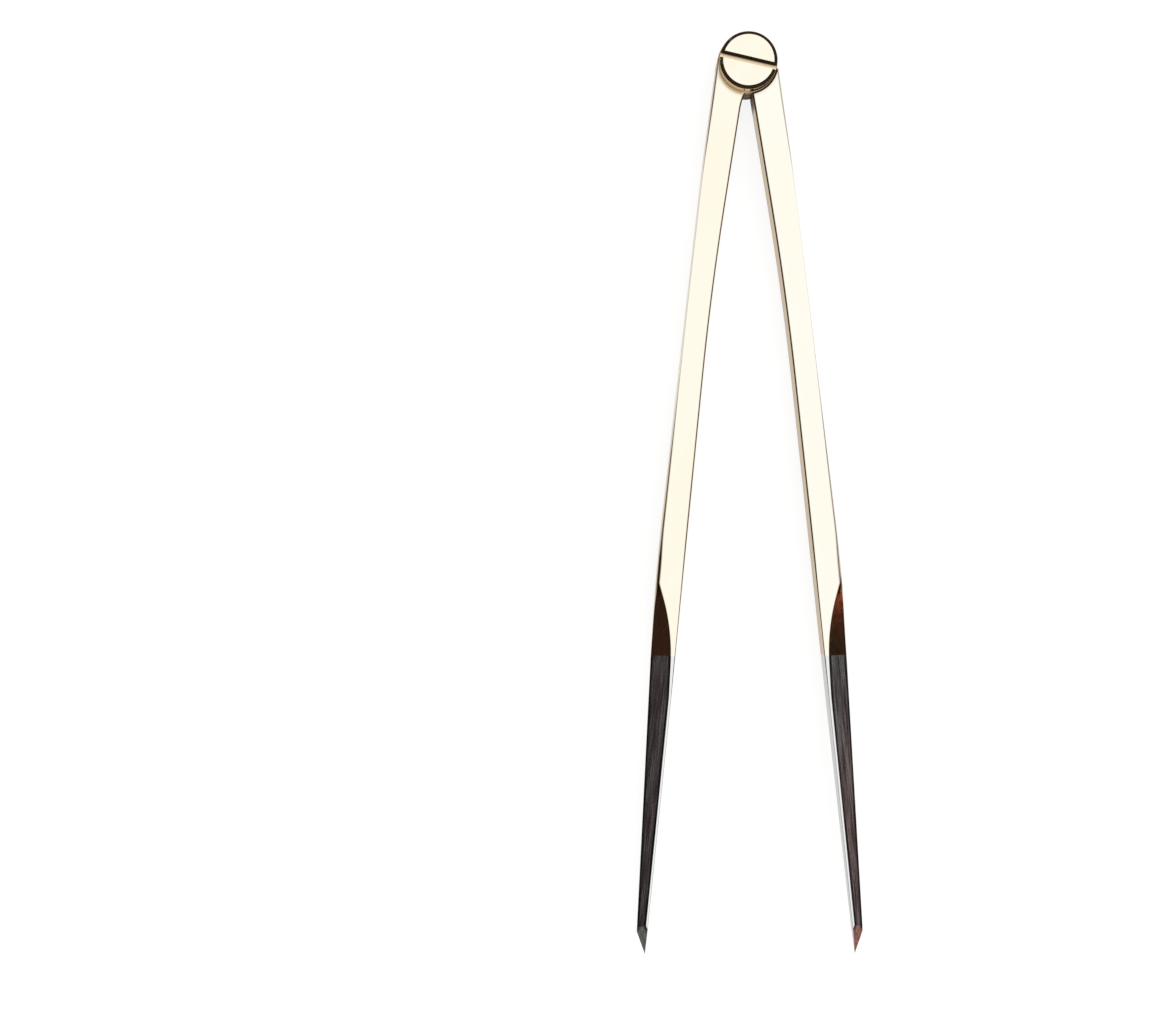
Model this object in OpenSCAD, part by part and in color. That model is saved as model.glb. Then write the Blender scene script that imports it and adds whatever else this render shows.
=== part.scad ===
// Compass divider: two brass legs with steel points, turning on a screw-adjusted friction joint.
// It lies on its back. The pivot axis is +Z through the origin, the back faces are in Z = 0,
// the points lie towards -Y and the slotted screw head faces up.

/* [Legs] */
// Pivot axis to the tip of a point
leg_length = 172; // [140:1:240]
// Thickness of a leg, from its back face to its front face
leg_t = 6; // [5.4:0.1:7]
// Radius of the round knuckle
knuckle_r = 5.75; // [5.6:0.05:6]
// Distance from the line through pivot and tip to the straight outer edge of a leg
outer_u = 6.15; // [6:0.05:6.6]
// Distance from the pivot axis where the outer edge reaches that distance
outer_from = 20; // [10:1:40]
// Angle between the two legs as modelled
opening = 13.5; // [2:0.5:90]
// Depth of the hollow in the inner edge, so that only the points meet when the legs close
hollow_depth = 1.85; // [1.5:0.05:2.2]
// Distance from the pivot axis to the deepest part of the hollow
hollow_at = 44; // [36:1:50]
// Radius that rounds the deepest part of the hollow
hollow_r = 600; // [200:10:700]
// Radius that rounds the outer edge where it starts to narrow, at the top of the bevels
outer_bend_r = 430; // [200:10:500]
// How far the inner edge of the fork leg flares out where it meets the knuckle
crotch_flare = 0.4; // [0.1:0.05:0.45]
// Length of that flare along the leg
crotch_flare_l = 3; // [2:0.5:5]

/* [Points] */
// Length of steel that shows, from the seam with the brass to the tip
point_length = 58; // [45:1:70]
// Skew of the seam to the leg, in degrees: the seams are in line at the modelled opening
seam_skew = 6.75; // [0:0.25:10]
// Width of a point at the seam, from the line through the tip to the outer ridge
point_root_w = 5.45; // [5:0.05:5.6]
// Width of a point where its end is cut to the tip
tip_w = 2.05; // [1.7:0.05:2.5]
// Length of that end cut
tip_l = 4.2; // [3:0.1:7]
// Angle of the two facets of the end cut to the front and back faces
tip_angle = 34; // [30:1:38]
// Thickness of a point where its end cut starts
tip_t = 2.8; // [2.4:0.1:3.2]
// Distance below the seam where the thickness starts to taper
thinning_from = 8; // [3:1:15]
// Angle of the bevels to the front and back faces
bevel_angle = 36.5; // [35:0.5:40]
// Width of the narrow flat left between the front bevel and the back bevel
ridge_flat = 0.4; // [0.2:0.05:0.6]
// Distance above the seam where the curved run-out of the bevels ends
runout_end = 5; // [1:0.5:8]
// Length of that run-out
runout_l = 10.4; // [9:0.2:16]
// Radius at the top of the run-out
runout_top_r = 12; // [8:1:20]
// Radius at the bottom of the run-out
runout_bottom_r = 40; // [20:1:45]
// Radius of the round tang that holds a point in its leg
tang_r = 1.1; // [0.8:0.05:1.3]
// Length of the tang
tang_l = 8; // [5:0.5:14]
// Distance of the tang's centre from the line through the tip
tang_u = 2.4; // [2.2:0.1:2.6]

/* [Joint] */
// Thickness of the tongue
tongue_t = 2; // [1.6:0.1:2.2]
// Thickness of a friction washer
friction_washer_t = 0.2; // [0.1:0.05:0.3]
// Outer radius of the friction washers
friction_washer_r = 5.4; // [4.5:0.1:5.5]
// Radius of the sleeve that the tongue turns on
sleeve_r = 2.8; // [2.5:0.1:3.2]
// Radius of the sleeve nut's flange, let into the back
flange_r = 4.2; // [4:0.1:4.6]
// Thickness of that flange
flange_t = 1; // [0.8:0.05:1.1]
// Radius of the two key holes in the flange
key_hole_r = 0.6; // [0.4:0.05:0.7]
// Depth of the key holes
key_hole_depth = 0.7; // [0.4:0.05:0.75]
// Distance from one key hole to the other
key_hole_spacing = 6; // [5.6:0.1:6.4]
// Distance that the sleeve stops short of the front face, so that the screw clamps the cheeks
sleeve_short = 0.4; // [0.2:0.1:0.8]

/* [Pivot screw] */
// Radius of the screw head
head_r = 5.5; // [5.2:0.05:5.6]
// Height of the screw head, from the edge of its rim to its face
head_t = 2.75; // [2.4:0.05:4]
// Gap under the rim of the head
head_lift = 0.15; // [0.1:0.05:0.3]
// Width of the chamfer round the face of the head
head_chamfer = 0.65; // [0.3:0.05:0.8]
// Height of that chamfer
head_chamfer_h = 0.45; // [0.3:0.05:0.6]
// Width of the driver slot
slot_w = 1.3; // [0.8:0.05:1.6]
// Depth of the driver slot
slot_depth = 1.4; // [0.8:0.1:1.6]
// Direction of the slot as modelled, in degrees from +X
slot_angle = -13.5; // [-90:0.5:90]
// Radius of the screw's threaded shank
shank_r = 1.8; // [1.4:0.1:2]
// Floor of brass left below the screw's hole in the sleeve nut
blind_floor = 1.2; // [1:0.1:1.6]
// Outer radius of the disc spring under the head
spring_r = 4.6; // [4:0.1:4.6]
// Thickness of the disc spring
spring_t = 0.25; // [0.15:0.05:0.3]
// Height of the disc spring's cone
spring_cone = 0.15; // [0.1:0.05:0.25]

/* [Fits] */
// Radial clearance of the sleeve in its bores, and of the screw in the sleeve
running_gap = 0.03; // [0.01:0.01:0.06]
// Clearance between flat faces that slide on each other
face_gap = 0.02; // [0.01:0.01:0.05]
// Clearance between a knuckle's rim and the shoulder cut round it
shoulder_gap = 0.2; // [0.1:0.05:0.3]
// Clearance round a washer
washer_gap = 0.15; // [0.1:0.05:0.2]
// Solder gap round a tang
solder_gap = 0.02; // [0.01:0.01:0.05]

/* [Hidden] */
$fn = 96;

brass = "#E6D29A";
brass_turned = "#D9BE7C";
steel = "#6A6C70";
spring_steel = "#4E4F52";
bronze = "#B5793F";

// Small overlap that makes a cut pass clear of a face
over = 1;
// Reach of a cutter past everything that it cuts
reach = 60;
// Straight pieces in each rounded corner of an outline
corner_steps = 8;

half_t = leg_t / 2;
seam_v = leg_length - point_length;
runout_end_v = seam_v - runout_end;
runout_start_v = runout_end_v - runout_l;
end_cut_v = leg_length - tip_l;
shoulder_r = knuckle_r + shoulder_gap;
bore_r = sleeve_r + running_gap;
tongue_slot_t = tongue_t + 2 * friction_washer_t + 4 * face_gap;
cheek_t = (leg_t - tongue_slot_t) / 2;
tongue_z = (leg_t - tongue_t) / 2;
spring_h = spring_t + spring_cone;
head_z = leg_t + head_lift;
face_z = head_z + head_t;

// Outlines are drawn as [u, -v]: v runs from the pivot to the tip, u points outwards.

function unit(p) = p / norm(p);

// Points of the arc of radius r that rounds the corner p between a and b
function corner(a, p, b, r) =
    let (da = unit(a - p), db = unit(b - p),
         half = acos(da * db) / 2,
         centre = p + unit(da + db) * r / sin(half),
         first = p + da * r / tan(half) - centre,
         last = p + db * r / tan(half) - centre,
         from = atan2(first.y, first.x),
         turn = atan2(last.y, last.x) - from,
         sweep = turn > 180 ? turn - 360 : turn < -180 ? turn + 360 : turn)
    [for (i = [0:corner_steps])
        centre + r * [cos(from + sweep * i / corner_steps), sin(from + sweep * i / corner_steps)]];

// Distance of the outer edge of a point at v
function ridge(v) =
    tip_w + (point_root_w - tip_w) * (end_cut_v - v) / (end_cut_v - seam_v);

// Outer edge: from the knuckle to its full distance, straight, then narrowing past the tip
function outer_edge() =
    let (top = [outer_u, -outer_from],
         bend = [outer_u, -runout_start_v],
         root = [point_root_w, -seam_v],
         end_v = leg_length + over)
    concat([[knuckle_r, 0], top], corner(top, bend, root, outer_bend_r),
           [root, [ridge(end_v), -end_v]]);

// Inner edge: from past the tip up to the pivot, hollowed in between
function inner_edge() =
    let (deepest = [hollow_depth, -hollow_at],
         tip = [0, -leg_length],
         end = tip + unit(tip - deepest) * over)
    concat([end], corner(tip, deepest, [0, 0], hollow_r), [[0, 0]]);

module leg_outline() polygon(concat(outer_edge(), inner_edge()));

// Curved flare of the inner edge beside the knuckle, ending as a tangent
module flare_outline() {
    lead = hollow_depth / hollow_at;
    end_v = knuckle_r + crotch_flare_l;
    flare = [for (i = [0:corner_steps])
        let (s = i / corner_steps, v = end_v - crotch_flare_l * s)
        [lead * v - crotch_flare * s * s, -v]];
    polygon(concat([[knuckle_r / 2, -end_v]], flare, [[0, 0], [knuckle_r / 2, 0]]));
}

// Line where the plane of a bevel crosses mid-thickness: run-out, then straight past the tip
function bevel_path() =
    let (slope = tan(bevel_angle),
         past_ridge = ridge_flat / 2 / slope,
         clear_u = outer_u + half_t / slope + shoulder_gap / 2,
         end_v = leg_length + over,
         start = [clear_u, -(runout_start_v - runout_top_r)],
         top = [clear_u, -runout_start_v],
         bottom = [ridge(runout_end_v) + past_ridge, -runout_end_v],
         end = [ridge(end_v) + past_ridge, -end_v])
    concat([start], corner(start, top, bottom, runout_top_r),
           corner(top, bottom, end, runout_bottom_r), [end]);

// Everything outside one bevel, as a prism that runs along the bevel's slope
module bevel_cut() {
    path = bevel_path();
    outline = concat(path, [[reach, path[len(path) - 1].y], [reach, path[0].y]]);
    rotate([0, bevel_angle - 90, 0])
        linear_extrude(reach, center = true)
            polygon([for (p = outline) [p.x * sin(bevel_angle), p.y]]);
}

// Everything outside one facet of the end cut, which meets the other facet at mid-thickness
module tip_cut() {
    translate([0, -leg_length, 0])
        rotate([0, tip_angle - 90, -atan2(tip_w, tip_l)])
            translate([0, -reach, -reach]) cube([reach, 2 * reach, 2 * reach]);
}

// Wedge that thins a point towards its tip on one face
module thinning_cut() {
    from_v = seam_v + thinning_from;
    slope = (half_t - tip_t / 2) / (end_cut_v - from_v);
    end_v = leg_length + 2 * over;
    rotate([90, 0, 90])
        linear_extrude(reach, center = true)
            polygon([[-from_v, half_t], [-end_v, half_t - slope * (end_v - from_v)],
                     [-end_v, leg_t], [-from_v, leg_t]]);
}

// Brass and steel of one leg as a single bar, before it is parted at the seam
module leg_bar() {
    difference() {
        linear_extrude(leg_t) leg_outline();
        translate([0, 0, half_t])
            for (side = [0, 1])
                mirror([0, 0, side]) {
                    bevel_cut();
                    thinning_cut();
                    tip_cut();
                }
    }
}

// Block that covers everything below the seam
module below_seam() {
    translate([0, -seam_v, -over])
        rotate([0, 0, -seam_skew])
            translate([-reach / 2, -2 * reach, 0])
                cube([reach, 2 * reach, leg_t + 2 * over]);
}

// Round bar along the leg at the tang's place, from past the seam up into the brass
module tang_bar(r, length) {
    translate([tang_u, -seam_v - over, half_t])
        rotate([-90, 0, 0]) cylinder(r = r, h = length + over);
}

module pivot_cylinder(r, z, h) {
    translate([0, 0, z]) cylinder(r = r, h = h);
}

// Brass bar of a leg with the socket for its point
module brass_bar() {
    difference() {
        leg_bar();
        below_seam();
        tang_bar(tang_r + solder_gap, tang_l + solder_gap);
    }
}

module steel_point() {
    intersection() {
        leg_bar();
        below_seam();
    }
    tang_bar(tang_r, tang_l);
}

// Turns a leg drawn along -Y to its place: the tongue leg on +X, the fork leg mirrored on -X
module on_tongue_side() rotate([0, 0, opening / 2]) children();
module on_fork_side() mirror([1, 0, 0]) on_tongue_side() children();

// Leg whose knuckle is split into two cheeks
module fork_leg() {
    color(brass) on_fork_side() difference() {
        union() {
            brass_bar();
            linear_extrude(leg_t) flare_outline();
            pivot_cylinder(knuckle_r, 0, leg_t);
        }
        pivot_cylinder(shoulder_r, cheek_t, tongue_slot_t);
        pivot_cylinder(bore_r, -over, leg_t + 2 * over);
        pivot_cylinder(flange_r + running_gap, -over, flange_t + face_gap + over);
    }
}

// Leg whose knuckle is a tongue between the cheeks
module tongue_leg() {
    color(brass) on_tongue_side() difference() {
        union() {
            difference() {
                brass_bar();
                pivot_cylinder(shoulder_r, -over, tongue_z + over);
                pivot_cylinder(shoulder_r, tongue_z + tongue_t, leg_t);
            }
            pivot_cylinder(knuckle_r, tongue_z, tongue_t);
        }
        pivot_cylinder(bore_r, -over, leg_t + 2 * over);
    }
}

module fork_point() {
    color(steel) on_fork_side() steel_point();
}

module tongue_point() {
    color(steel) on_tongue_side() steel_point();
}

// Slotted cheese-head screw, hollowed under its head for the disc spring
module pivot_screw() {
    shank_end_z = blind_floor + shank_r / 2;
    recess_z = leg_t + spring_h + 2 * face_gap;
    slot_z = face_z - slot_depth;
    color(brass_turned) {
        difference() {
            union() {
                pivot_cylinder(head_r, head_z, head_t - head_chamfer_h);
                translate([0, 0, face_z - head_chamfer_h])
                    cylinder(r1 = head_r, r2 = head_r - head_chamfer, h = head_chamfer_h);
            }
            pivot_cylinder(spring_r + washer_gap, leg_t, recess_z - leg_t);
            rotate([0, 0, slot_angle])
                translate([-head_r - over, -slot_w / 2, slot_z])
                    cube([2 * (head_r + over), slot_w, slot_depth + over]);
        }
        pivot_cylinder(shank_r, shank_end_z, (recess_z + slot_z) / 2 - shank_end_z);
    }
}

// Nut with a long sleeve: the tongue turns on the sleeve, the screw threads into it
module sleeve_nut() {
    color(brass_turned) difference() {
        union() {
            pivot_cylinder(flange_r, 0, flange_t);
            pivot_cylinder(sleeve_r, 0, leg_t - sleeve_short);
        }
        pivot_cylinder(shank_r + running_gap, blind_floor, leg_t);
        for (side = [-1, 1])
            translate([side * key_hole_spacing / 2, 0, -over])
                cylinder(r = key_hole_r, h = key_hole_depth + over);
    }
}

// Coned disc spring between the front cheek and the screw head
module spring_washer() {
    inner_r = bore_r;
    color(spring_steel) translate([0, 0, leg_t + face_gap])
        rotate_extrude()
            polygon([[inner_r, spring_cone], [spring_r, 0],
                     [spring_r, spring_t], [inner_r, spring_h]]);
}

// Thin ring between the tongue and one cheek
module friction_washer(z) {
    color(bronze) difference() {
        pivot_cylinder(friction_washer_r, z, friction_washer_t);
        pivot_cylinder(sleeve_r + washer_gap, z - over, friction_washer_t + 2 * over);
    }
}

module front_friction_washer() friction_washer(tongue_z + tongue_t + face_gap);
module rear_friction_washer() friction_washer(cheek_t + face_gap);

fork_leg();
tongue_leg();
fork_point();
tongue_point();
pivot_screw();
sleeve_nut();
spring_washer();
front_friction_washer();
rear_friction_washer();
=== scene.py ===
import math
from bisect import bisect_right

import bmesh
import bpy
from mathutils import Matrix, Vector


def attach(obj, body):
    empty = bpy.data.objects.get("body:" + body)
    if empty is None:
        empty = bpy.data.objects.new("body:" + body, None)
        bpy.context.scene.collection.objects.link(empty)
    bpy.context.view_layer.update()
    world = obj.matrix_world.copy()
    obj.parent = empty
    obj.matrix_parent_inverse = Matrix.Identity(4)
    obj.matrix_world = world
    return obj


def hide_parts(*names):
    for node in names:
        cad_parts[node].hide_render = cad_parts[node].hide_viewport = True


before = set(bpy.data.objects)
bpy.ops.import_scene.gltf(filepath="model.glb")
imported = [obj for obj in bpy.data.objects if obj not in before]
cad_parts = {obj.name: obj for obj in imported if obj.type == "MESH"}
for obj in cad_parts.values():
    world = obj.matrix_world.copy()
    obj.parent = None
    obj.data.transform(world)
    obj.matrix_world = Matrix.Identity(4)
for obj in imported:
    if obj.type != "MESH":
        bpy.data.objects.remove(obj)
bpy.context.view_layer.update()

MM = 0.001

# Sizes in mm. A leg has a frame of its own: u points outwards from the line through pivot and tip,
# v runs from the pivot to the tip, and z is the height above the back faces.

# How far cutters and lofts reach past what they cut or end in
OVER = 1.0

HALF_OPENING = math.radians(13.5 / 2)
LEG_LENGTH = 172.0
LEG_T = 6.0
HALF_T = LEG_T / 2
KNUCKLE_R = 5.745
SHOULDER_R = 5.95
OUTER_U = 6.15
OUTER_FROM = 20.0
OUTER_FROM_R = 120.0
OUTER_BEND_R = 430.0
HOLLOW_DEPTH = 1.85
HOLLOW_AT = 44.0
HOLLOW_R = 600.0
FLARE = 0.4
FLARE_L = 3.0

POINT_LENGTH = 58.0
SEAM_V = LEG_LENGTH - POINT_LENGTH
SEAM_LEAN = math.tan(math.radians(6.75))
POINT_ROOT_W = 5.45
ROOT_BEND_R = 60.0
TIP_W = 2.05
TIP_L = 4.2
TIP_ANGLE = math.radians(34.0)
END_CUT_V = LEG_LENGTH - TIP_L
PAST_TIP_V = LEG_LENGTH + OVER
THINNING_FROM = 8.0
THIN_FROM_V = SEAM_V + THINNING_FROM
TIP_T = 2.8
THINNING = (HALF_T - TIP_T / 2) / (END_CUT_V - THIN_FROM_V)
BEVEL = math.radians(36.5)
BEVEL_CLEARANCE = 0.1
RIDGE_FLAT = 0.4
RUNOUT_END = 5.0
RUNOUT_L = 10.4
RUNOUT_END_V = SEAM_V - RUNOUT_END
RUNOUT_START_V = RUNOUT_END_V - RUNOUT_L
RUNOUT_TOP_R = 12.0
RUNOUT_LOW_R = 40.0
TANG_R = 1.1
TANG_L = 8.0
TANG_U = 2.4
SOLDER = 0.02

RUNNING_GAP = 0.03
FACE_GAP = 0.02
TONGUE = (2.0, 4.0)
TONGUE_SPACE = (1.76, 4.24)
SLEEVE_R = 2.8
SLEEVE_TOP_Z = 5.6
BORE_R = SLEEVE_R + RUNNING_GAP
FLANGE_R = 4.2
FLANGE_T = 1.0
FLANGE_SEAT_R = FLANGE_R + RUNNING_GAP
FLANGE_SEAT_T = FLANGE_T + FACE_GAP
BLIND_FLOOR = 1.2
KEY_HOLE_R = 0.6
KEY_HOLE_DEPTH = 0.7
KEY_HOLE_X = 3.0

SHANK_R = 1.8
SHANK_LOW_Z = 2.1
SHANK_CHAMFER = 0.2
SPRING_ROOM_R = 4.75
SPRING_ROOM_Z = 6.44
HEAD_R = 5.5
HEAD_LOW_Z = 6.15
HEAD_FACE_R = 4.85
HEAD_FACE_Z = 8.9
CHAMFER_LOW_Z = 8.45
SLOT_W = 1.3
SLOT_DEPTH = 1.4
SLOT_ANGLE = math.radians(-13.5)

# Places along a leg: where the lofted bar takes over from the knuckle's own surface, where its sections
# get closer and closest, and where they start and stop to lean with the seam
KNUCKLE_END_V = 30.0
CLOSER_V = 84.0
CLOSEST_V = 95.0
LEAN_FROM_V = 102.0
LEAN_TO_V = 126.0

# Rounding of a leg's edges: its radius beside the pivot, and soft steps of (from v, to v, change of radius).
# The inner edges are buffed over on the brass and crisp on the steel. The outer edges are crisp along
# the leg, soft at the run-out and crisp again on the bevels.
PIVOT_ROUNDING = 0.45
INNER_ROUNDING = [(88.0, SEAM_V, -0.23), (SEAM_V, LEAN_TO_V, -0.14)]
OUTER_ROUNDING = [(6.0, 28.0, -0.35), (44.0, 96.0, 0.47), (90.0, 98.0, 0.30),
                  (99.5, 106.0, -0.75), (SEAM_V, LEAN_TO_V, -0.05)]


# Curves of a leg

def smooth(a, b, x):
    """Soft step from 0 at a to 1 at b."""
    t = min(1.0, max(0.0, (x - a) / (b - a)))
    return t * t * (3 - 2 * t)


def rounded_path(corners, steps=14):
    """Curve u(v) through (v, u, radius) corners, each rounded by its radius."""
    out = [corners[0][:2]]
    for (av, au, _), (pv, pu, r), (bv, bu, _) in zip(corners, corners[1:], corners[2:]):
        before = math.atan2(pu - au, pv - av)
        after = math.atan2(bu - pu, bv - pv)
        reach = r * abs(math.tan((after - before) / 2))
        start_v = pv - reach * math.cos(before)
        start_u = pu - reach * math.sin(before)
        bend = math.copysign(r, after - before)
        for i in range(steps + 1):
            s = before + (after - before) * i / steps
            out.append((start_v + bend * (math.sin(s) - math.sin(before)),
                        start_u - bend * (math.cos(s) - math.cos(before))))
    out.append(corners[-1][:2])
    return out


def at(path, v):
    """Value of a path at v, carried on straight past its ends."""
    i = min(max(bisect_right(path, (v, math.inf)), 1), len(path) - 1)
    (v0, u0), (v1, u1) = path[i - 1], path[i]
    return u0 + (u1 - u0) * (v - v0) / (v1 - v0)


def ridge(v):
    """Distance of the outer edge of a point."""
    return TIP_W + (POINT_ROOT_W - TIP_W) * (END_CUT_V - v) / (END_CUT_V - SEAM_V)


past_ridge = RIDGE_FLAT / 2 / math.tan(BEVEL)
clear_u = OUTER_U + HALF_T / math.tan(BEVEL) + BEVEL_CLEARANCE

OUTER_EDGE = rounded_path([(0, KNUCKLE_R, 0),
                           (OUTER_FROM, OUTER_U, OUTER_FROM_R),
                           (RUNOUT_START_V, OUTER_U, OUTER_BEND_R),
                           (SEAM_V, POINT_ROOT_W, ROOT_BEND_R),
                           (PAST_TIP_V, ridge(PAST_TIP_V), 0)])
INNER_EDGE = rounded_path([(0, 0, 0), (HOLLOW_AT, HOLLOW_DEPTH, HOLLOW_R), (LEG_LENGTH, 0, 0)])
HOLLOW_START_V = INNER_EDGE[1][0]
BEVEL_LINE = rounded_path([(KNUCKLE_END_V, clear_u, 0),
                           (RUNOUT_START_V, clear_u, RUNOUT_TOP_R),
                           (RUNOUT_END_V, ridge(RUNOUT_END_V) + past_ridge, RUNOUT_LOW_R),
                           (PAST_TIP_V, ridge(PAST_TIP_V) + past_ridge, 0)])


def half_thickness(v):
    return HALF_T - THINNING * max(0.0, v - THIN_FROM_V)


def rounding(steps, v):
    """Radius of an edge at v."""
    return PIVOT_ROUNDING + sum(change * smooth(low, high, v) for low, high, change in steps)


# Directions of the section's surface over its rounded corners: face to bevel, then bevel to side
FACE_STEPS = 4
SIDE_STEPS = 5
TILTS = [BEVEL * i / FACE_STEPS for i in range(FACE_STEPS + 1)]
TILTS += [BEVEL + (math.pi / 2 - BEVEL) * i / SIDE_STEPS for i in range(SIDE_STEPS + 1)]
PLAIN_TILTS = TILTS[:FACE_STEPS] + TILTS[FACE_STEPS + 1:]


def front_half(v):
    """Front half of a section, as (u, z over mid-thickness): the outer edge, then the inner edge."""
    r = rounding(OUTER_ROUNDING, v)
    top = half_thickness(v) - r
    side = at(OUTER_EDGE, v) - r
    slope = math.sin(BEVEL) * at(BEVEL_LINE, v) - r
    face_corner = side_corner = (side, top)
    if math.sin(BEVEL) * side + math.cos(BEVEL) * top > slope:
        face_corner = ((slope - math.cos(BEVEL) * top) / math.sin(BEVEL), top)
        side_corner = (side, (slope - math.sin(BEVEL) * side) / math.cos(BEVEL))
    outer = []
    for i, tilt in enumerate(TILTS):
        u, z = face_corner if i <= FACE_STEPS else side_corner
        outer.append((u + r * math.sin(tilt), z + r * math.cos(tilt)))
    q = rounding(INNER_ROUNDING, v)
    u, z = at(INNER_EDGE, v) + q, half_thickness(v) - q
    inner = [(u - q * math.sin(tilt), z + q * math.cos(tilt)) for tilt in PLAIN_TILTS]
    return outer, inner


def section(v):
    """Closed ring of (u, z) round the leg: outer edge front to back, then inner edge back to front."""
    outer, inner = front_half(v)
    ring = [(u, HALF_T + z) for u, z in outer] + [(u, HALF_T - z) for u, z in reversed(outer)]
    ring += [(u, HALF_T - z) for u, z in inner] + [(u, HALF_T + z) for u, z in reversed(inner)]
    return ring


def leaning_section(v, share):
    """Ring of (u, v, z) that leans with the seam by a share of its lean."""
    ring = [(u, v, z) for u, z in section(v)]
    lean = share * SEAM_LEAN
    for _ in range(3 if lean else 0):
        moved = []
        for i, point in enumerate(ring):
            own_v = v + point[0] * lean
            u, z = section(own_v)[i]
            moved.append((u, own_v, z))
        ring = moved
    return ring


def spread(a, b, step):
    """Even steps from a up to, but not including, b."""
    n = max(1, round((b - a) / step))
    return [a + (b - a) * i / n for i in range(n)]


def stops(marks, end):
    """Places along a leg: from each (v, step) mark in even steps up to the next one, and the end."""
    next_v = [v for v, _ in marks[1:]] + [end]
    return [v for (start, step), stop in zip(marks, next_v) for v in spread(start, stop, step)] + [end]


# Meshes

# Points closer than this, in metres, are one, and faces flatter than this stay whole
MERGE_WITHIN = 2e-7
FLAT_WITHIN = math.radians(0.1)
# How much a large face outweighs a small one in the shading of their edge
LARGE_FACE_WEIGHT = 80
# Pieces in the rounding of a turned corner
CORNER_STEPS = 4
# Steps along a knuckle's plan curve: on its sides, over the flare and round the pivot
SIDE_STEP = 1.5
FLARE_STEP = 0.3
PIVOT_STEP = math.radians(4)


def to_frame(u, v, z, side):
    """Place of a leg's point in the shared frame; side is 1 for the tongue leg, -1 for the fork leg."""
    x = u * math.cos(HALF_OPENING) + v * math.sin(HALF_OPENING)
    y = u * math.sin(HALF_OPENING) - v * math.cos(HALF_OPENING)
    return Vector((side * x, y, z)) * MM


def skin(bm, rows, closed):
    """Faces between neighbouring rows of vertices."""
    for one, two in zip(rows, rows[1:]):
        for i in range(len(one) if closed else len(one) - 1):
            j = (i + 1) % len(one)
            bm.faces.new((one[i], one[j], two[j], two[i]))


def add_loft(bm, rings, side):
    """Skin over rings of (u, v, z). Returns the vertices of the first and the last ring."""
    rows = [[bm.verts.new(to_frame(*point, side)) for point in ring] for ring in rings]
    skin(bm, rows, closed=True)
    return rows[0], rows[-1]


def add_seam_face(bm, ring, side, r, end_v, segments=32):
    """Seam face of a leg, with a round bar or socket along v that starts in it and ends at end_v."""
    rim, end = [], []
    for i in range(segments):
        a = 2 * math.pi * i / segments
        u, z = TANG_U + r * math.cos(a), HALF_T + r * math.sin(a)
        rim.append(bm.verts.new(to_frame(u, SEAM_V + u * SEAM_LEAN, z, side)))
        end.append(bm.verts.new(to_frame(u, end_v, z, side)))
    edges = []
    for loop in (ring, rim):
        for a, b in zip(loop, loop[1:] + loop[:1]):
            edges.append(bm.edges.get((a, b)) or bm.edges.new((a, b)))
    bmesh.ops.triangle_fill(bm, edges=edges, use_beauty=True, use_dissolve=False)
    skin(bm, [rim, end], closed=True)
    bm.faces.new(end)


def knuckle_curve(flare):
    """Plan curve from the outer edge at KNUCKLE_END_V round the knuckle to the inner edge there."""
    outer_stops = spread(0, KNUCKLE_END_V, SIDE_STEP) + [KNUCKLE_END_V]
    curve = [(at(OUTER_EDGE, v), v) for v in outer_stops][:0:-1]
    lead = HOLLOW_DEPTH / HOLLOW_AT
    meet_u = lead * KNUCKLE_R - flare
    meet = 2 * math.pi - math.acos(meet_u / KNUCKLE_R)
    for a in spread(0, meet, PIVOT_STEP) + [meet]:
        curve.append((KNUCKLE_R * math.cos(a), -KNUCKLE_R * math.sin(a)))
    flare_end_v = KNUCKLE_R + FLARE_L
    if flare:
        for v in spread(curve[-1][1], flare_end_v, FLARE_STEP)[1:]:
            share = (flare_end_v - v) / FLARE_L
            curve.append((lead * v - flare * share * share, v))
    for v in [flare_end_v] + spread(HOLLOW_START_V, KNUCKLE_END_V, SIDE_STEP) + [KNUCKLE_END_V]:
        curve.append((at(INNER_EDGE, v), v))
    return curve


def add_knuckle(bm, side, flare):
    """Rounded knuckle and the stretch of leg beside it, open where the lofted bar takes over."""
    curve = knuckle_curve(flare)
    columns = []
    for i, (u, v) in enumerate(curve):
        before, after = curve[max(i - 1, 0)], curve[min(i + 1, len(curve) - 1)]
        along = Vector((after[0] - before[0], after[1] - before[1])).normalized()
        inward = Vector((along.y, -along.x))
        if v == KNUCKLE_END_V:
            inward = Vector((math.copysign(1.0, inward.x), 0))
        r = rounding(OUTER_ROUNDING if u > KNUCKLE_R / 2 else INNER_ROUNDING, v)
        half = [(r - r * math.sin(t), HALF_T - r + r * math.cos(t)) for t in PLAIN_TILTS]
        profile = [(d, HALF_T + z) for d, z in half] + [(d, HALF_T - z) for d, z in reversed(half)]
        columns.append([bm.verts.new(to_frame(u + inward.x * d, v + inward.y * d, z, side))
                        for d, z in profile])
    skin(bm, columns, closed=False)
    bm.faces.new([column[0] for column in columns])
    bm.faces.new([column[-1] for column in columns])


def add_turned(bm, profile, segments=128):
    """Turned form from (radius, z, rounding) corners, of which the first and last lie on the axis."""
    line = []
    for before, corner, after in zip(profile, profile[1:], profile[2:]):
        p = Vector(corner[:2])
        to_before = (Vector(before[:2]) - p).normalized() * corner[2]
        to_after = (Vector(after[:2]) - p).normalized() * corner[2]
        for i in range(CORNER_STEPS + 1 if corner[2] else 1):
            t = i / CORNER_STEPS
            line.append(p + to_before * (1 - t) ** 2 + to_after * t ** 2)
    turns = [2 * math.pi * i / segments for i in range(segments)]
    rings = []
    for r, z in line:
        rings.append([bm.verts.new(Vector((r * math.cos(a), r * math.sin(a), z)) * MM) for a in turns])
    skin(bm, rings, closed=True)
    bm.faces.new(rings[0])
    bm.faces.new(rings[-1])


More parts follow.
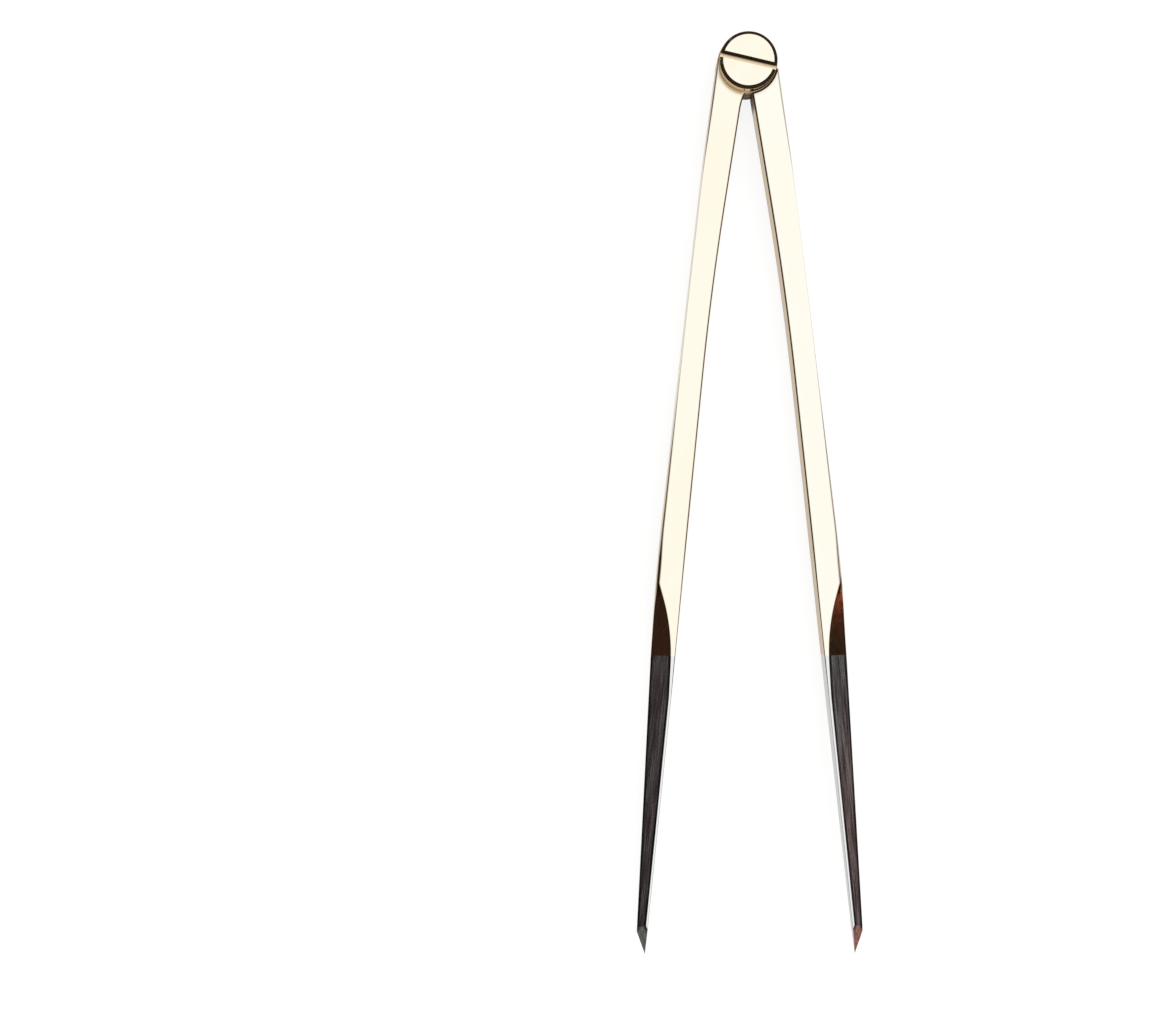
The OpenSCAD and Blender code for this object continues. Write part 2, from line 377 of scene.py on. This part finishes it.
def cutter(name, bm):
    mesh = bpy.data.meshes.new(name)
    bm.normal_update()
    bmesh.ops.recalc_face_normals(bm, faces=bm.faces)
    bm.to_mesh(mesh)
    bm.free()
    return bpy.data.objects.new(name, mesh)


def round_cutter(name, r, z_low, z_high, x=0.0, segments=128):
    bm = bmesh.new()
    bmesh.ops.create_cone(bm, cap_ends=True, segments=segments, radius1=r * MM, radius2=r * MM,
                          depth=(z_high - z_low) * MM)
    bmesh.ops.translate(bm, verts=bm.verts, vec=Vector((x, 0, (z_low + z_high) / 2)) * MM)
    return cutter(name, bm)


def slot_cutter(name):
    bm = bmesh.new()
    bmesh.ops.create_cube(bm, size=1.0)
    size = Vector((2 * (HEAD_R + OVER), SLOT_W, 2 * SLOT_DEPTH))
    bmesh.ops.scale(bm, verts=bm.verts, vec=size * MM)
    tool = cutter(name, bm)
    tool.location = (0, 0, HEAD_FACE_Z * MM)
    tool.rotation_euler = (0, 0, SLOT_ANGLE)
    return tool


def tip_cutter(name, side, face):
    """Block outside one facet of the end cut; face is 1 for the front and -1 for the back."""
    size = 4 * TIP_L
    turn = math.atan2(TIP_W, TIP_L)
    out = Vector((math.cos(turn), math.sin(turn), 0))
    up = Vector((0, 0, face))
    normal = out * math.sin(TIP_ANGLE) + up * math.cos(TIP_ANGLE)
    rise = up * math.sin(TIP_ANGLE) - out * math.cos(TIP_ANGLE)
    along = Vector((math.sin(turn), -math.cos(turn), 0))
    tip = Vector((0, LEG_LENGTH, HALF_T))
    bm = bmesh.new()
    bmesh.ops.create_cube(bm, size=size)
    for vert in bm.verts:
        a, b, c = vert.co
        vert.co = to_frame(*(tip + normal * (a + size / 2) + along * b + rise * c), side)
    return cutter(name, bm)


def finish_piece(bm, node, body, cutters=(), crease=32.0):
    """Mesh less the cutters, as the piece that stands for a node. Edges past the crease stay sharp."""
    bmesh.ops.remove_doubles(bm, verts=bm.verts, dist=MERGE_WITHIN)
    bmesh.ops.connect_verts_nonplanar(bm, angle_limit=FLAT_WITHIN, faces=bm.faces)
    bmesh.ops.recalc_face_normals(bm, faces=bm.faces)
    mesh = bpy.data.meshes.new(node + "_visual")
    bm.to_mesh(mesh)
    bm.free()
    piece = bpy.data.objects.new(node + "_visual", mesh)
    bpy.context.scene.collection.objects.link(piece)
    for tool in cutters:
        bpy.context.scene.collection.objects.link(tool)
        cut = piece.modifiers.new(tool.name, "BOOLEAN")
        cut.operation = "DIFFERENCE"
        cut.solver = "EXACT"
        cut.object = tool
    whole = piece.evaluated_get(bpy.context.evaluated_depsgraph_get())
    piece.data = bpy.data.meshes.new_from_object(whole)
    piece.data.name = node + "_visual"
    piece.modifiers.clear()
    for tool in cutters:
        bpy.data.objects.remove(tool)
    piece.data.shade_smooth()
    piece.data.set_sharp_from_angle(angle=math.radians(crease))
    normals = piece.modifiers.new("normals", "WEIGHTED_NORMAL")
    normals.keep_sharp = True
    normals.weight = LARGE_FACE_WEIGHT
    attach(piece, body)
    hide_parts(node)
    return piece


# Pieces

def brass_leg(node, body, side, flare, cutters):
    places = stops([(KNUCKLE_END_V, 3.0), (CLOSER_V, 1.0), (CLOSEST_V, 0.35)], SEAM_V)
    rings = [leaning_section(v, smooth(LEAN_FROM_V, SEAM_V, v)) for v in places]
    bm = bmesh.new()
    _, seam = add_loft(bm, rings, side)
    add_seam_face(bm, seam, side, TANG_R + SOLDER, SEAM_V - TANG_L - SOLDER)
    add_knuckle(bm, side, flare)
    return finish_piece(bm, node, body, cutters)


def steel_point(node, body, side):
    places = stops([(SEAM_V, 0.75), (LEAN_TO_V, 2.0)], PAST_TIP_V)
    rings = [leaning_section(v, 1 - smooth(SEAM_V, LEAN_TO_V, v)) for v in places]
    bm = bmesh.new()
    seam, end = add_loft(bm, rings, side)
    add_seam_face(bm, seam, side, TANG_R, SEAM_V - TANG_L)
    bm.faces.new(end)
    facets = [tip_cutter("front_facet", side, 1), tip_cutter("back_facet", side, -1)]
    return finish_piece(bm, node, body, facets, crease=11.5)


def pivot_screw():
    bm = bmesh.new()
    add_turned(bm, [(0, SHANK_LOW_Z, 0),
                    (SHANK_R - SHANK_CHAMFER, SHANK_LOW_Z, 0),
                    (SHANK_R, SHANK_LOW_Z + SHANK_CHAMFER, 0),
                    (SHANK_R, SPRING_ROOM_Z, 0),
                    (SPRING_ROOM_R, SPRING_ROOM_Z, 0),
                    (SPRING_ROOM_R, HEAD_LOW_Z, 0.05),
                    (HEAD_R, HEAD_LOW_Z, 0.08),
                    (HEAD_R, CHAMFER_LOW_Z, 0.05),
                    (HEAD_FACE_R, HEAD_FACE_Z, 0.05),
                    (0, HEAD_FACE_Z, 0)])
    return finish_piece(bm, "pivot_screw", "screw", [slot_cutter("slot")])


def sleeve_nut():
    thread_r = SHANK_R + RUNNING_GAP
    bm = bmesh.new()
    add_turned(bm, [(0, 0, 0),
                    (FLANGE_R, 0, 0.1),
                    (FLANGE_R, FLANGE_T, 0.05),
                    (SLEEVE_R, FLANGE_T, 0),
                    (SLEEVE_R, SLEEVE_TOP_Z, 0.1),
                    (thread_r, SLEEVE_TOP_Z, 0.06),
                    (thread_r, BLIND_FLOOR, 0),
                    (0, BLIND_FLOOR, 0)])
    holes = [round_cutter("key_hole", KEY_HOLE_R, -OVER, KEY_HOLE_DEPTH, x=x, segments=48)
             for x in (-KEY_HOLE_X, KEY_HOLE_X)]
    return finish_piece(bm, "sleeve_nut", "fork", holes)


# Finishes

class Nodes:
    """Short forms for building a node tree of a material or of the world."""

    def __init__(self, owner):
        owner.use_nodes = True
        self.owner = owner
        self.nodes = owner.node_tree.nodes
        self.link = owner.node_tree.links.new

    def add(self, kind, **settings):
        node = self.nodes.new(kind)
        for key, value in settings.items():
            setattr(node, key, value)
        return node

    def feed(self, socket, value):
        if isinstance(value, bpy.types.NodeSocket):
            self.link(value, socket)
        else:
            socket.default_value = value

    def math(self, operation, *values):
        node = self.add("ShaderNodeMath", operation=operation)
        for socket, value in zip(node.inputs, values):
            self.feed(socket, value)
        return node.outputs["Value"]

    def both(self, first, *others):
        """Product of shares, which is 1 only where all of them are."""
        for other in others:
            first = self.math("MULTIPLY", first, other)
        return first

    def total(self, value, *parts):
        """A value plus each (part, weight)."""
        for part, weight in parts:
            value = self.math("ADD", value, self.math("MULTIPLY", part, weight))
        return value

    def span(self, value, low, high, to_low=0.0, to_high=1.0):
        """Soft step of a value from to_low at low to to_high at high."""
        node = self.add("ShaderNodeMapRange", interpolation_type="SMOOTHSTEP")
        for name, number in zip(("From Min", "From Max", "To Min", "To Max"), (low, high, to_low, to_high)):
            node.inputs[name].default_value = number
        self.link(value, node.inputs["Value"])
        return node.outputs["Result"]

    def band(self, value, start, full, fading, end):
        """1 from full to fading, and 0 before start and past end."""
        return self.both(self.span(value, start, full), self.span(value, end, fading))

    def mix(self, share, a, b):
        node = self.add("ShaderNodeMix", data_type="RGBA")
        self.feed(node.inputs["Factor"], share)
        for name, colour in (("A", a), ("B", b)):
            self.feed(node.inputs[name], (*colour, 1) if isinstance(colour, tuple) else colour)
        return node.outputs["Result"]

    def split(self, vector):
        node = self.add("ShaderNodeSeparateXYZ")
        self.link(vector, node.inputs[0])
        return node.outputs["X"], node.outputs["Y"], node.outputs["Z"]


class Finish(Nodes):
    """Metal finish with its own coordinates, turned to lie along a piece."""

    def __init__(self, name, turn=0.0):
        super().__init__(bpy.data.materials.new(name))
        self.shader = self.nodes["Principled BSDF"]
        self.shader.inputs["Metallic"].default_value = 1.0
        coordinates = self.add("ShaderNodeTexCoord")
        along = self.add("ShaderNodeMapping", vector_type="TEXTURE")
        along.inputs["Rotation"].default_value = (0, 0, turn)
        self.link(coordinates.outputs["Object"], along.inputs["Vector"])
        self.place = along.outputs["Vector"]
        # 1 on the flat front and back faces, 0 on upright sides
        self.facing = self.math("ABSOLUTE", self.split(coordinates.outputs["Normal"])[2])

    def axes(self):
        """Place on the piece in mm. On a leg, x is across it and -y runs from the pivot to the tip."""
        return [self.math("DIVIDE", metres, MM) for metres in self.split(self.place)]

    def noise(self, scale, detail=3.0, roughness=0.55):
        """Noise with its own number of cells per metre in x, y and z."""
        stretch = self.add("ShaderNodeVectorMath", operation="MULTIPLY")
        stretch.inputs[1].default_value = scale
        self.link(self.place, stretch.inputs[0])
        noise = self.add("ShaderNodeTexNoise")
        noise.inputs["Scale"].default_value = 1.0
        noise.inputs["Detail"].default_value = detail
        noise.inputs["Roughness"].default_value = roughness
        self.link(stretch.outputs["Vector"], noise.inputs["Vector"])
        return noise.outputs["Fac"]

    def crevice(self, distance, open_sky, closed):
        """1 in corners that little light reaches, 0 on open surfaces. The distance is in mm."""
        ao = self.add("ShaderNodeAmbientOcclusion", samples=8)
        ao.inputs["Distance"].default_value = distance * MM
        return self.span(ao.outputs["AO"], closed, open_sky, 1.0, 0.0)

    def dull(self, share):
        """Takes the metal's mirror away by a share, for tarnish, oxide and painted shade."""
        self.link(self.math("SUBTRACT", 1.0, share), self.shader.inputs["Metallic"])
        self.shader.inputs["Specular IOR Level"].default_value = DULLED_SPECULAR

    def set(self, colour, roughness, height, depth):
        """Connects the shader, with marks of a depth in mm. Returns the material."""
        self.link(colour, self.shader.inputs["Base Color"])
        self.link(roughness, self.shader.inputs["Roughness"])
        bump = self.add("ShaderNodeBump")
        bump.inputs["Strength"].default_value = BUMP_STRENGTH
        bump.inputs["Distance"].default_value = depth * MM
        self.link(height, bump.inputs["Height"])
        self.link(bump.outputs["Normal"], self.shader.inputs["Normal"])
        return self.owner


BUMP_STRENGTH = 0.25
DULLED_SPECULAR = 0.02

BRASS_PALE = (0.96, 0.92, 0.79)
BRASS_DEEP = (0.94, 0.87, 0.67)
BRASS_WHITE = (0.96, 0.94, 0.85)
BRASS_SOFT = (0.95, 0.91, 0.77)
# Sides of the brass legs: drawn streaks, in a tone painted darker than the faces as shade
BRASS_SIDE = (0.61, 0.50, 0.31)
BRASS_SIDE_DULL = (0.55, 0.44, 0.27)
BRASS_GRAZING = (0.78, 0.70, 0.62, 1)
HEAD_SIDE = (0.74, 0.55, 0.28)
NUT_BRASS = (0.90, 0.80, 0.56)
# Painted shade on the brass legs' rounded edges, in two browns, and its darkest tone
EDGE_PAINTED_SHADE = (0.36, 0.28, 0.19)
EDGE_PAINTED_SHADE_DARK = (0.25, 0.185, 0.125)
EDGE_SHADED = (0.05, 0.035, 0.02)
PATINA = (0.71, 0.51, 0.29)
PATINA_DARK = (0.55, 0.40, 0.22)
# Tarnish and painted shade in corners and in the crotch
TARNISH_AND_SHADE = (0.15, 0.08, 0.04)
# Oxide and painted shade on a slot's walls, and a painted dark reflection on the head's chamfer
OXIDE_AND_SHADE = (0.030, 0.016, 0.009)
# Painted shade across a slot's floor, from pale to dark
SLOT_FLOOR_SHADE_PALE = (0.84, 0.68, 0.45)
SLOT_FLOOR_SHADE_DARK = (0.24, 0.16, 0.10)
STEEL_FACE = (0.82, 0.82, 0.815)
STEEL_BEVEL = (0.51, 0.53, 0.55)
STEEL_BEVEL_DARK = (0.31, 0.325, 0.335)
# Sides of the steel points, in a tone painted darker than the faces as shade
STEEL_SIDE = (0.46, 0.46, 0.46)
STEEL_SIDE_DULL = (0.36, 0.355, 0.35)
# Painted shade lines on the points' bevels
STEEL_SHADE_LINE = (0.07, 0.07, 0.07)
STEEL_SPECK = (0.20, 0.15, 0.12)
BRONZE = (0.62, 0.38, 0.18)
BRONZE_DARK = (0.42, 0.24, 0.11)
SPRING_STEEL = (0.32, 0.32, 0.33)
SPRING_STEEL_DARK = (0.20, 0.19, 0.18)

# How squarely a surface faces front or back where one finish gives way to the next
OFF_BRASS_FACE = (0.97, 0.88)
OFF_STEEL_FACE = (0.98, 0.92)
ON_SIDE = (0.45, 0.22)
ON_WALL = (0.60, 0.40)
ON_CHAMFER = (0.50, 0.65, 0.93, 0.98)

# Where the finish of a leg changes, in mm across it and along it: its outer half, the stretch with a painted
# highlight on its outer edges, the crotch, and the bevels; and how soon an edge in painted shade is dark
OUTER_HALF_U = (3.0, 4.5)
HIGHLIGHT_V = (13.0, 24.0, 58.0, 80.0)
CROTCH_U = (3.8, 2.4)
CROTCH_V = (2.5, 4.5, 7.5, 9.5)
BEVEL_U = (1.3, 1.6)
BEVEL_V = (100.5, 104.0)
SHADE_L = 4.0

# How much of the painted highlight shows on a side, and how deep the painted shade in the crotch is
SIDE_HIGHLIGHT = 0.7
CROTCH_SHADE_DEPTH = 0.8

# Where the finish of a slotted head changes, in mm: over the slot's edges, across the painted shade on its
# floor, down to that floor, and up to the chamfer with its painted dark ring
SLOT_EDGE = (0.55 * SLOT_W, 0.54 * SLOT_W)
SLOT_SHADE_ACROSS = (-0.2 * SLOT_W, 0.45 * SLOT_W)
SLOT_SHADE_Z = (HEAD_FACE_Z, HEAD_FACE_Z - SLOT_DEPTH / 2)
DARK_RING_Z = (CHAMFER_LOW_Z - 0.1, CHAMFER_LOW_Z)

# Lines of painted shade on a point's bevel: below the flat face, over the ridge, and their end above the end
# cut
FACE_LINE = (0.45, 0.15)
RIDGE_LINE = (0.65, 0.35)
LINE_END_L = 1.0


def leg_brass(name, turn, pale, deep, least_highlight, inner_shade, shaded_from):
    """Brass with polished faces, filed bevels, drawn sides in a tone painted darker as shade, and edges in
    painted brown shade.

    The outer half gets a painted highlight, by the least share passed in everywhere and fully over a stretch
    of the leg.
    The inner edges get painted shade by inner_shade, and the outer edges fully past shaded_from.
    """
    f = Finish(name, turn)
    x, y, _ = f.axes()
    u = f.math("ABSOLUTE", x)
    v = f.math("MULTIPLY", y, -1.0)
    off_face = f.span(f.facing, *OFF_BRASS_FACE)
    on_side = f.span(f.facing, *ON_SIDE)

    cloud = f.noise((45, 22, 45), detail=4.0)
    face = f.mix(f.span(cloud, 0.35, 0.75, 0.0, 0.55), pale, deep)

    # Painted shade on the rounded edges, mottled between two browns
    edge_mottle = f.noise((420, 160, 420), detail=4.0)
    edge = f.mix(f.span(edge_mottle, 0.35, 0.7), EDGE_PAINTED_SHADE, EDGE_PAINTED_SHADE_DARK)
    outer = f.span(u, *OUTER_HALF_U)
    # Painted highlight on the outer half's edges, and by a share on its sides
    edge_highlight = f.both(outer, f.math("MAXIMUM", f.band(v, *HIGHLIGHT_V), least_highlight))
    edge = f.mix(edge_highlight, edge, pale)
    inner = f.math("SUBTRACT", 1.0, outer)
    edge = f.mix(f.both(inner, inner_shade), edge, EDGE_SHADED)
    shaded = f.span(v, shaded_from, shaded_from + SHADE_L)
    edge = f.mix(f.both(outer, shaded), edge, EDGE_SHADED)

    filed = f.noise((4200, 45, 4200), detail=3.0)
    bevel = f.mix(f.span(filed, 0.35, 0.68), PATINA, PATINA_DARK)
    on_bevel = f.both(f.span(u, *BEVEL_U), f.span(v, *BEVEL_V))
    slope = f.mix(on_bevel, edge, bevel)

    drawn = f.noise((40, 40, 7000), detail=3.0)
    # Drawn streaks on the sides, in a tone painted darker than the faces as shade
    side = f.mix(f.span(drawn, 0.3, 0.7), BRASS_SIDE, BRASS_SIDE_DULL)
    side = f.mix(f.both(edge_highlight, SIDE_HIGHLIGHT), side, pale)

    # Tarnish and painted shade where little light reaches
    corners = f.crevice(3.0, open_sky=0.74, closed=0.32)
    # Painted shade in the crotch, on the sides there
    crotch = f.both(f.band(v, *CROTCH_V), f.span(u, *CROTCH_U), on_side, CROTCH_SHADE_DEPTH)
    shade_and_tarnish = f.math("MAXIMUM", corners, crotch)
    colour = f.mix(on_side, f.mix(off_face, face, slope), side)
    colour = f.mix(shade_and_tarnish, colour, TARNISH_AND_SHADE)

    marks = f.mix(on_side, f.noise((5200, 90, 5200), detail=2.0), drawn)
    scratches = f.span(f.noise((9000, 260, 9000), detail=1.0), 0.70, 0.80)
    rough = f.span(marks, 0.3, 0.7, 0.07, 0.16)
    rough = f.total(rough, (scratches, 0.10), (on_side, 0.05), (shade_and_tarnish, 0.30))
    f.shader.inputs["Specular Tint"].default_value = BRASS_GRAZING
    f.dull(shade_and_tarnish)
    return f.set(colour, rough, f.total(marks, (scratches, -0.6)), depth=0.006)


def slot_marks(f, wall):
    """Share and colour of the painted shade on a slot's floor, and share of oxide and painted shade on its
    walls and of a painted dark reflection on the chamfer.
    """
    _, across, height = f.axes()
    in_slot = f.span(f.math("ABSOLUTE", across), *SLOT_EDGE)
    deep = f.span(height, *SLOT_SHADE_Z)
    # Painted shade across the slot's floor, darker towards one wall
    slot_floor_shade = f.mix(f.span(across, *SLOT_SHADE_ACROSS), SLOT_FLOOR_SHADE_PALE, SLOT_FLOOR_SHADE_DARK)
    high = f.span(height, *DARK_RING_Z)
    # Painted dark reflection on the chamfer, broken up by a mottle, and oxide and painted shade on the
    # slot's walls
    ring_mottle = f.span(f.noise((380, 380, 380), detail=3.0), 0.58, 0.72, 1.0, 0.35)
    ring = f.both(f.band(f.facing, *ON_CHAMFER), high, ring_mottle)
    return f.both(deep, in_slot), slot_floor_shade, f.math("MAXIMUM", ring, f.both(wall, in_slot))


def turned_brass(name, turn, pale, slotted):
    """Brass with turning rings and darker walls. A slotted head also gets painted shade across its slot's
    floor, oxide and painted shade on the slot's walls, and a painted dark reflection on its chamfer.
    """
    f = Finish(name, turn)
    rings = f.add("ShaderNodeTexWave", wave_type="RINGS", rings_direction="Z")
    rings.inputs["Scale"].default_value = 1400
    rings.inputs["Distortion"].default_value = 1.2
    rings.inputs["Detail"].default_value = 2
    f.link(f.place, rings.inputs["Vector"])
    marks = rings.outputs["Fac"]

    cloud = f.noise((320, 320, 320), detail=4.0)
    colour = f.mix(f.span(cloud, 0.35, 0.75, 0.0, 0.6), pale, BRASS_DEEP)
    wall = f.span(f.facing, *ON_WALL)
    colour = f.mix(wall, colour, HEAD_SIDE)
    on_slot_floor, slot_floor_shade, dark_ring_and_walls = slot_marks(f, wall) if slotted else (0.0, pale, 0.0)
    colour = f.mix(on_slot_floor, colour, slot_floor_shade)
    # Tarnish and painted shade where little light reaches, as under the head
    corners = f.crevice(1.4, open_sky=0.42, closed=0.12)
    colour = f.mix(dark_ring_and_walls, f.mix(corners, colour, TARNISH_AND_SHADE), OXIDE_AND_SHADE)

    shade_and_tarnish = f.math("MAXIMUM", corners, dark_ring_and_walls)
    rough = f.total(f.span(marks, 0.3, 0.7, 0.08, 0.15), (shade_and_tarnish, 0.25))
    f.shader.inputs["Specular Tint"].default_value = BRASS_GRAZING
    f.dull(shade_and_tarnish)
    return f.set(colour, rough, marks, depth=0.004)


def bevel_lines(f):
    """1 in lines of painted shade along both borders of a point's bevels, as far as its end cut."""
    _, y, z = f.axes()
    v = f.math("MULTIPLY", y, -1.0)
    over_middle = f.math("ABSOLUTE", f.math("SUBTRACT", z, HALF_T))
    past_start = f.math("MAXIMUM", f.math("SUBTRACT", v, THIN_FROM_V), 0.0)
    face = f.math("SUBTRACT", HALF_T, f.math("MULTIPLY", past_start, THINNING))
    below_face = f.math("SUBTRACT", face, over_middle)
    lines = f.math("MAXIMUM", f.span(below_face, *FACE_LINE), f.span(over_middle, *RIDGE_LINE))
    return f.both(lines, f.span(v, END_CUT_V, END_CUT_V - LINE_END_L))


def point_steel(name, turn):
    """Steel polished on its flat faces and ground lengthwise on its darker bevels, with lines of painted
    shade along the bevels' borders and sides in a tone painted darker as shade.
    """
    f = Finish(name, turn)
    streaks = f.noise((3000, 42, 3000), detail=5.0, roughness=0.65)
    specks = f.span(f.noise((1500, 700, 1500), detail=2.0), 0.70, 0.80, 0.0, 0.5)
    off_face = f.span(f.facing, *OFF_STEEL_FACE)
    on_side = f.span(f.facing, *ON_SIDE)
    bevel = f.mix(f.span(streaks, 0.3, 0.7), STEEL_BEVEL_DARK, STEEL_BEVEL)
    # Lines of painted shade along the bevel's borders
    bevel = f.mix(bevel_lines(f), bevel, STEEL_SHADE_LINE)
    # Sides in a tone painted darker than the faces as shade
    side = f.mix(f.span(streaks, 0.35, 0.65), STEEL_SIDE_DULL, STEEL_SIDE)
    colour = f.mix(on_side, f.mix(off_face, STEEL_FACE, bevel), side)
    colour = f.mix(specks, colour, STEEL_SPECK)
    rough = f.total(f.span(streaks, 0.3, 0.7, 0.12, 0.24), (off_face, 0.05))
    return f.set(colour, rough, streaks, depth=0.01)


def dull_metal(name, light, dark):
    f = Finish(name)
    cloud = f.noise((700, 700, 700), detail=4.0)
    colour = f.mix(f.span(cloud, 0.3, 0.7), light, dark)
    return f.set(colour, f.span(cloud, 0.3, 0.7, 0.35, 0.5), cloud, depth=0.01)


def dress(obj, material):
    obj.data.materials.clear()
    obj.data.materials.append(material)


# The divider

fork_leg = brass_leg("fork_leg", "fork", -1, FLARE, [
    round_cutter("tongue_space", SHOULDER_R, *TONGUE_SPACE),
    round_cutter("bore", BORE_R, -OVER, LEG_T + OVER),
    round_cutter("flange_seat", FLANGE_SEAT_R, -OVER, FLANGE_SEAT_T)])
tongue_leg = brass_leg("tongue_leg", "tongue", 1, 0.0, [
    round_cutter("front_shoulder", SHOULDER_R, TONGUE[1], LEG_T + OVER),
    round_cutter("rear_shoulder", SHOULDER_R, -OVER, TONGUE[0]),
    round_cutter("bore", BORE_R, -OVER, LEG_T + OVER)])
fork_point = steel_point("fork_point", "fork", -1)
tongue_point = steel_point("tongue_point", "tongue", 1)

dress(fork_leg, leg_brass("leg_brass_fork", -HALF_OPENING, BRASS_PALE, BRASS_DEEP,
                          least_highlight=0.0, inner_shade=0.0, shaded_from=92.0))
dress(tongue_leg, leg_brass("leg_brass_tongue", HALF_OPENING, BRASS_WHITE, BRASS_SOFT,
                            least_highlight=0.4, inner_shade=0.65, shaded_from=98.0))
dress(fork_point, point_steel("point_steel_fork", -HALF_OPENING))
dress(tongue_point, point_steel("point_steel_tongue", HALF_OPENING))
dress(pivot_screw(), turned_brass("screw_brass_turned", SLOT_ANGLE, BRASS_PALE, slotted=True))
dress(sleeve_nut(), turned_brass("nut_brass_turned", 0.0, NUT_BRASS, slotted=False))
washer_bronze = dull_metal("washer_bronze_dull", BRONZE, BRONZE_DARK)
dress(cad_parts["front_friction_washer"], washer_bronze)
dress(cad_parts["rear_friction_washer"], washer_bronze)
spring_steel = dull_metal("spring_steel_dull", SPRING_STEEL, SPRING_STEEL_DARK)
dress(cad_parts["spring_washer"], spring_steel)


# Studio, in metres

FLOOR_GLOW = 0.85
FLOOR_REACH = 40.0
FLOOR_Z = -0.1 * MM
FLOOR_GREY = (0.21, 0.21, 0.21)
FLOOR_GREY_PALE = (0.225, 0.225, 0.225)
PAPER_ROUGHNESS = 0.9

# Cards beside the table: x, low y, high y, height, colour and glow
FLAGS = {
    "left_flag": (-0.36, -0.33, 0.15, 0.19, (0.066, 0.036, 0.036), 0.0),
    "right_flag": (0.36, -0.45, 0.05, 0.115, (0.058, 0.038, 0.036), 0.0),
    "left_end_flag": (-0.36, -0.46, -0.335, 0.19, (0.20, 0.19, 0.145), 0.0),
    "low_warm_flag": (0.355, -0.225, -0.160, 0.031, (0.95, 0.20, 0.12), 0.35),
    "end_warm_flag": (0.355, -0.43, -0.335, 0.115, (0.92, 0.17, 0.06), 0.25),
}

# A long soft light over the middle of the table, a dimmer room at its sides and a white horizon
SKY_STRENGTH = 1.05
STRIP_X = 0.09
STRIP_FADE = (0.34, 0.58)
HORIZON = (0.0, 0.05)
ROOM = (0.62, 0.59, 0.54)
WHITE = (1.0, 1.0, 1.0)

KEY_SIZE = 0.9
KEY_ENERGY = 3.0
KEY_AT = Vector((0.75, -0.55, 0.9))
KEY_AIM = Vector((0, -0.08, 0))

# The camera looks straight down at the front faces
CAMERA_X = -30.81 * MM
CAMERA_Y = -84.44 * MM
CAMERA_HEIGHT = (LEG_T + 350.0) * MM
CAMERA_ROLL = math.radians(-0.232)
CAMERA_LENS = 56.1
CAMERA_SENSOR = 36.0
CAMERA_NEAR = 0.01


def place(name, data):
    obj = bpy.data.objects.new(name, data)
    bpy.context.scene.collection.objects.link(obj)
    return obj


def stage_plane(name, corners, material):
    mesh = bpy.data.meshes.new(name)
    mesh.from_pydata(corners, [], [(0, 1, 2, 3)])
    plane = place(name, mesh)
    dress(plane, material)
    return plane


def paper(name):
    """Matt paper: its nodes and its shader."""
    f = Nodes(bpy.data.materials.new(name))
    shader = f.nodes["Principled BSDF"]
    shader.inputs["Roughness"].default_value = PAPER_ROUGHNESS
    shader.inputs["Specular IOR Level"].default_value = 0.0
    return f, shader


def floor_paper():
    """Pale paper that looks white to the camera and to polished metal, and still takes soft shadows."""
    f, shader = paper("floor_paper")
    fibres = f.add("ShaderNodeTexNoise")
    fibres.inputs["Scale"].default_value = 400
    f.link(f.add("ShaderNodeTexCoord").outputs["Object"], fibres.inputs["Vector"])
    grey = f.mix(fibres.outputs["Fac"], FLOOR_GREY, FLOOR_GREY_PALE)
    f.link(grey, shader.inputs["Base Color"])
    path = f.add("ShaderNodeLightPath")
    seen = f.math("MAXIMUM", path.outputs["Is Camera Ray"], path.outputs["Is Glossy Ray"])
    seen = f.math("MAXIMUM", seen, path.outputs["Is Transmission Ray"])
    shader.inputs["Emission Color"].default_value = (*WHITE, 1)
    f.link(f.math("MULTIPLY", seen, FLOOR_GLOW), shader.inputs["Emission Strength"])
    return f.owner


def card_paper(name, colour, glow):
    f, shader = paper(name)
    shader.inputs["Base Color"].default_value = (*colour, 1)
    shader.inputs["Emission Color"].default_value = (*colour, 1)
    shader.inputs["Emission Strength"].default_value = glow
    return f.owner


def flag(name, x, y_low, y_high, height, colour, glow):
    """Upright card beside the table, out of the picture, that only polished metal shows."""
    corners = [(x, y_low, 0), (x, y_high, 0), (x, y_high, height), (x, y_low, height)]
    card = stage_plane(name, corners, card_paper(name, colour, glow))
    card.visible_camera = False
    card.visible_diffuse = False
    card.visible_shadow = False


floor_square = [(-1, -1), (1, -1), (1, 1), (-1, 1)]
floor_corners = [(x * FLOOR_REACH, y * FLOOR_REACH, FLOOR_Z) for x, y in floor_square]
stage_plane("floor", floor_corners, floor_paper())
for flag_name, card in FLAGS.items():
    flag(flag_name, *card)

world = bpy.data.worlds.new("studio")
bpy.context.scene.world = world
sky = Nodes(world)
sky_x, _, sky_z = sky.split(sky.add("ShaderNodeTexCoord").outputs["Generated"])
off_strip = sky.math("ABSOLUTE", sky.math("SUBTRACT", sky_x, STRIP_X))
light = sky.mix(sky.span(off_strip, *STRIP_FADE), WHITE, ROOM)
light = sky.mix(sky.span(sky_z, *HORIZON), WHITE, light)
sky.link(light, sky.nodes["Background"].inputs["Color"])
sky.nodes["Background"].inputs["Strength"].default_value = SKY_STRENGTH

key_data = bpy.data.lights.new("key", "AREA")
key_data.shape = "DISK"
key_data.size = KEY_SIZE
key_data.energy = KEY_ENERGY
key = place("key", key_data)
key.location = KEY_AT
key.rotation_euler = (KEY_AIM - KEY_AT).to_track_quat("-Z", "Y").to_euler()
key.visible_glossy = False

camera_data = bpy.data.cameras.new("camera")
camera_data.sensor_width = CAMERA_SENSOR
camera_data.lens = CAMERA_LENS
camera_data.clip_start = CAMERA_NEAR
camera = place("camera", camera_data)
camera.location = (CAMERA_X, CAMERA_Y, CAMERA_HEIGHT)
camera.rotation_euler = (0, 0, CAMERA_ROLL)
bpy.context.scene.camera = camera

bpy.context.scene.view_settings.view_transform = "Standard"
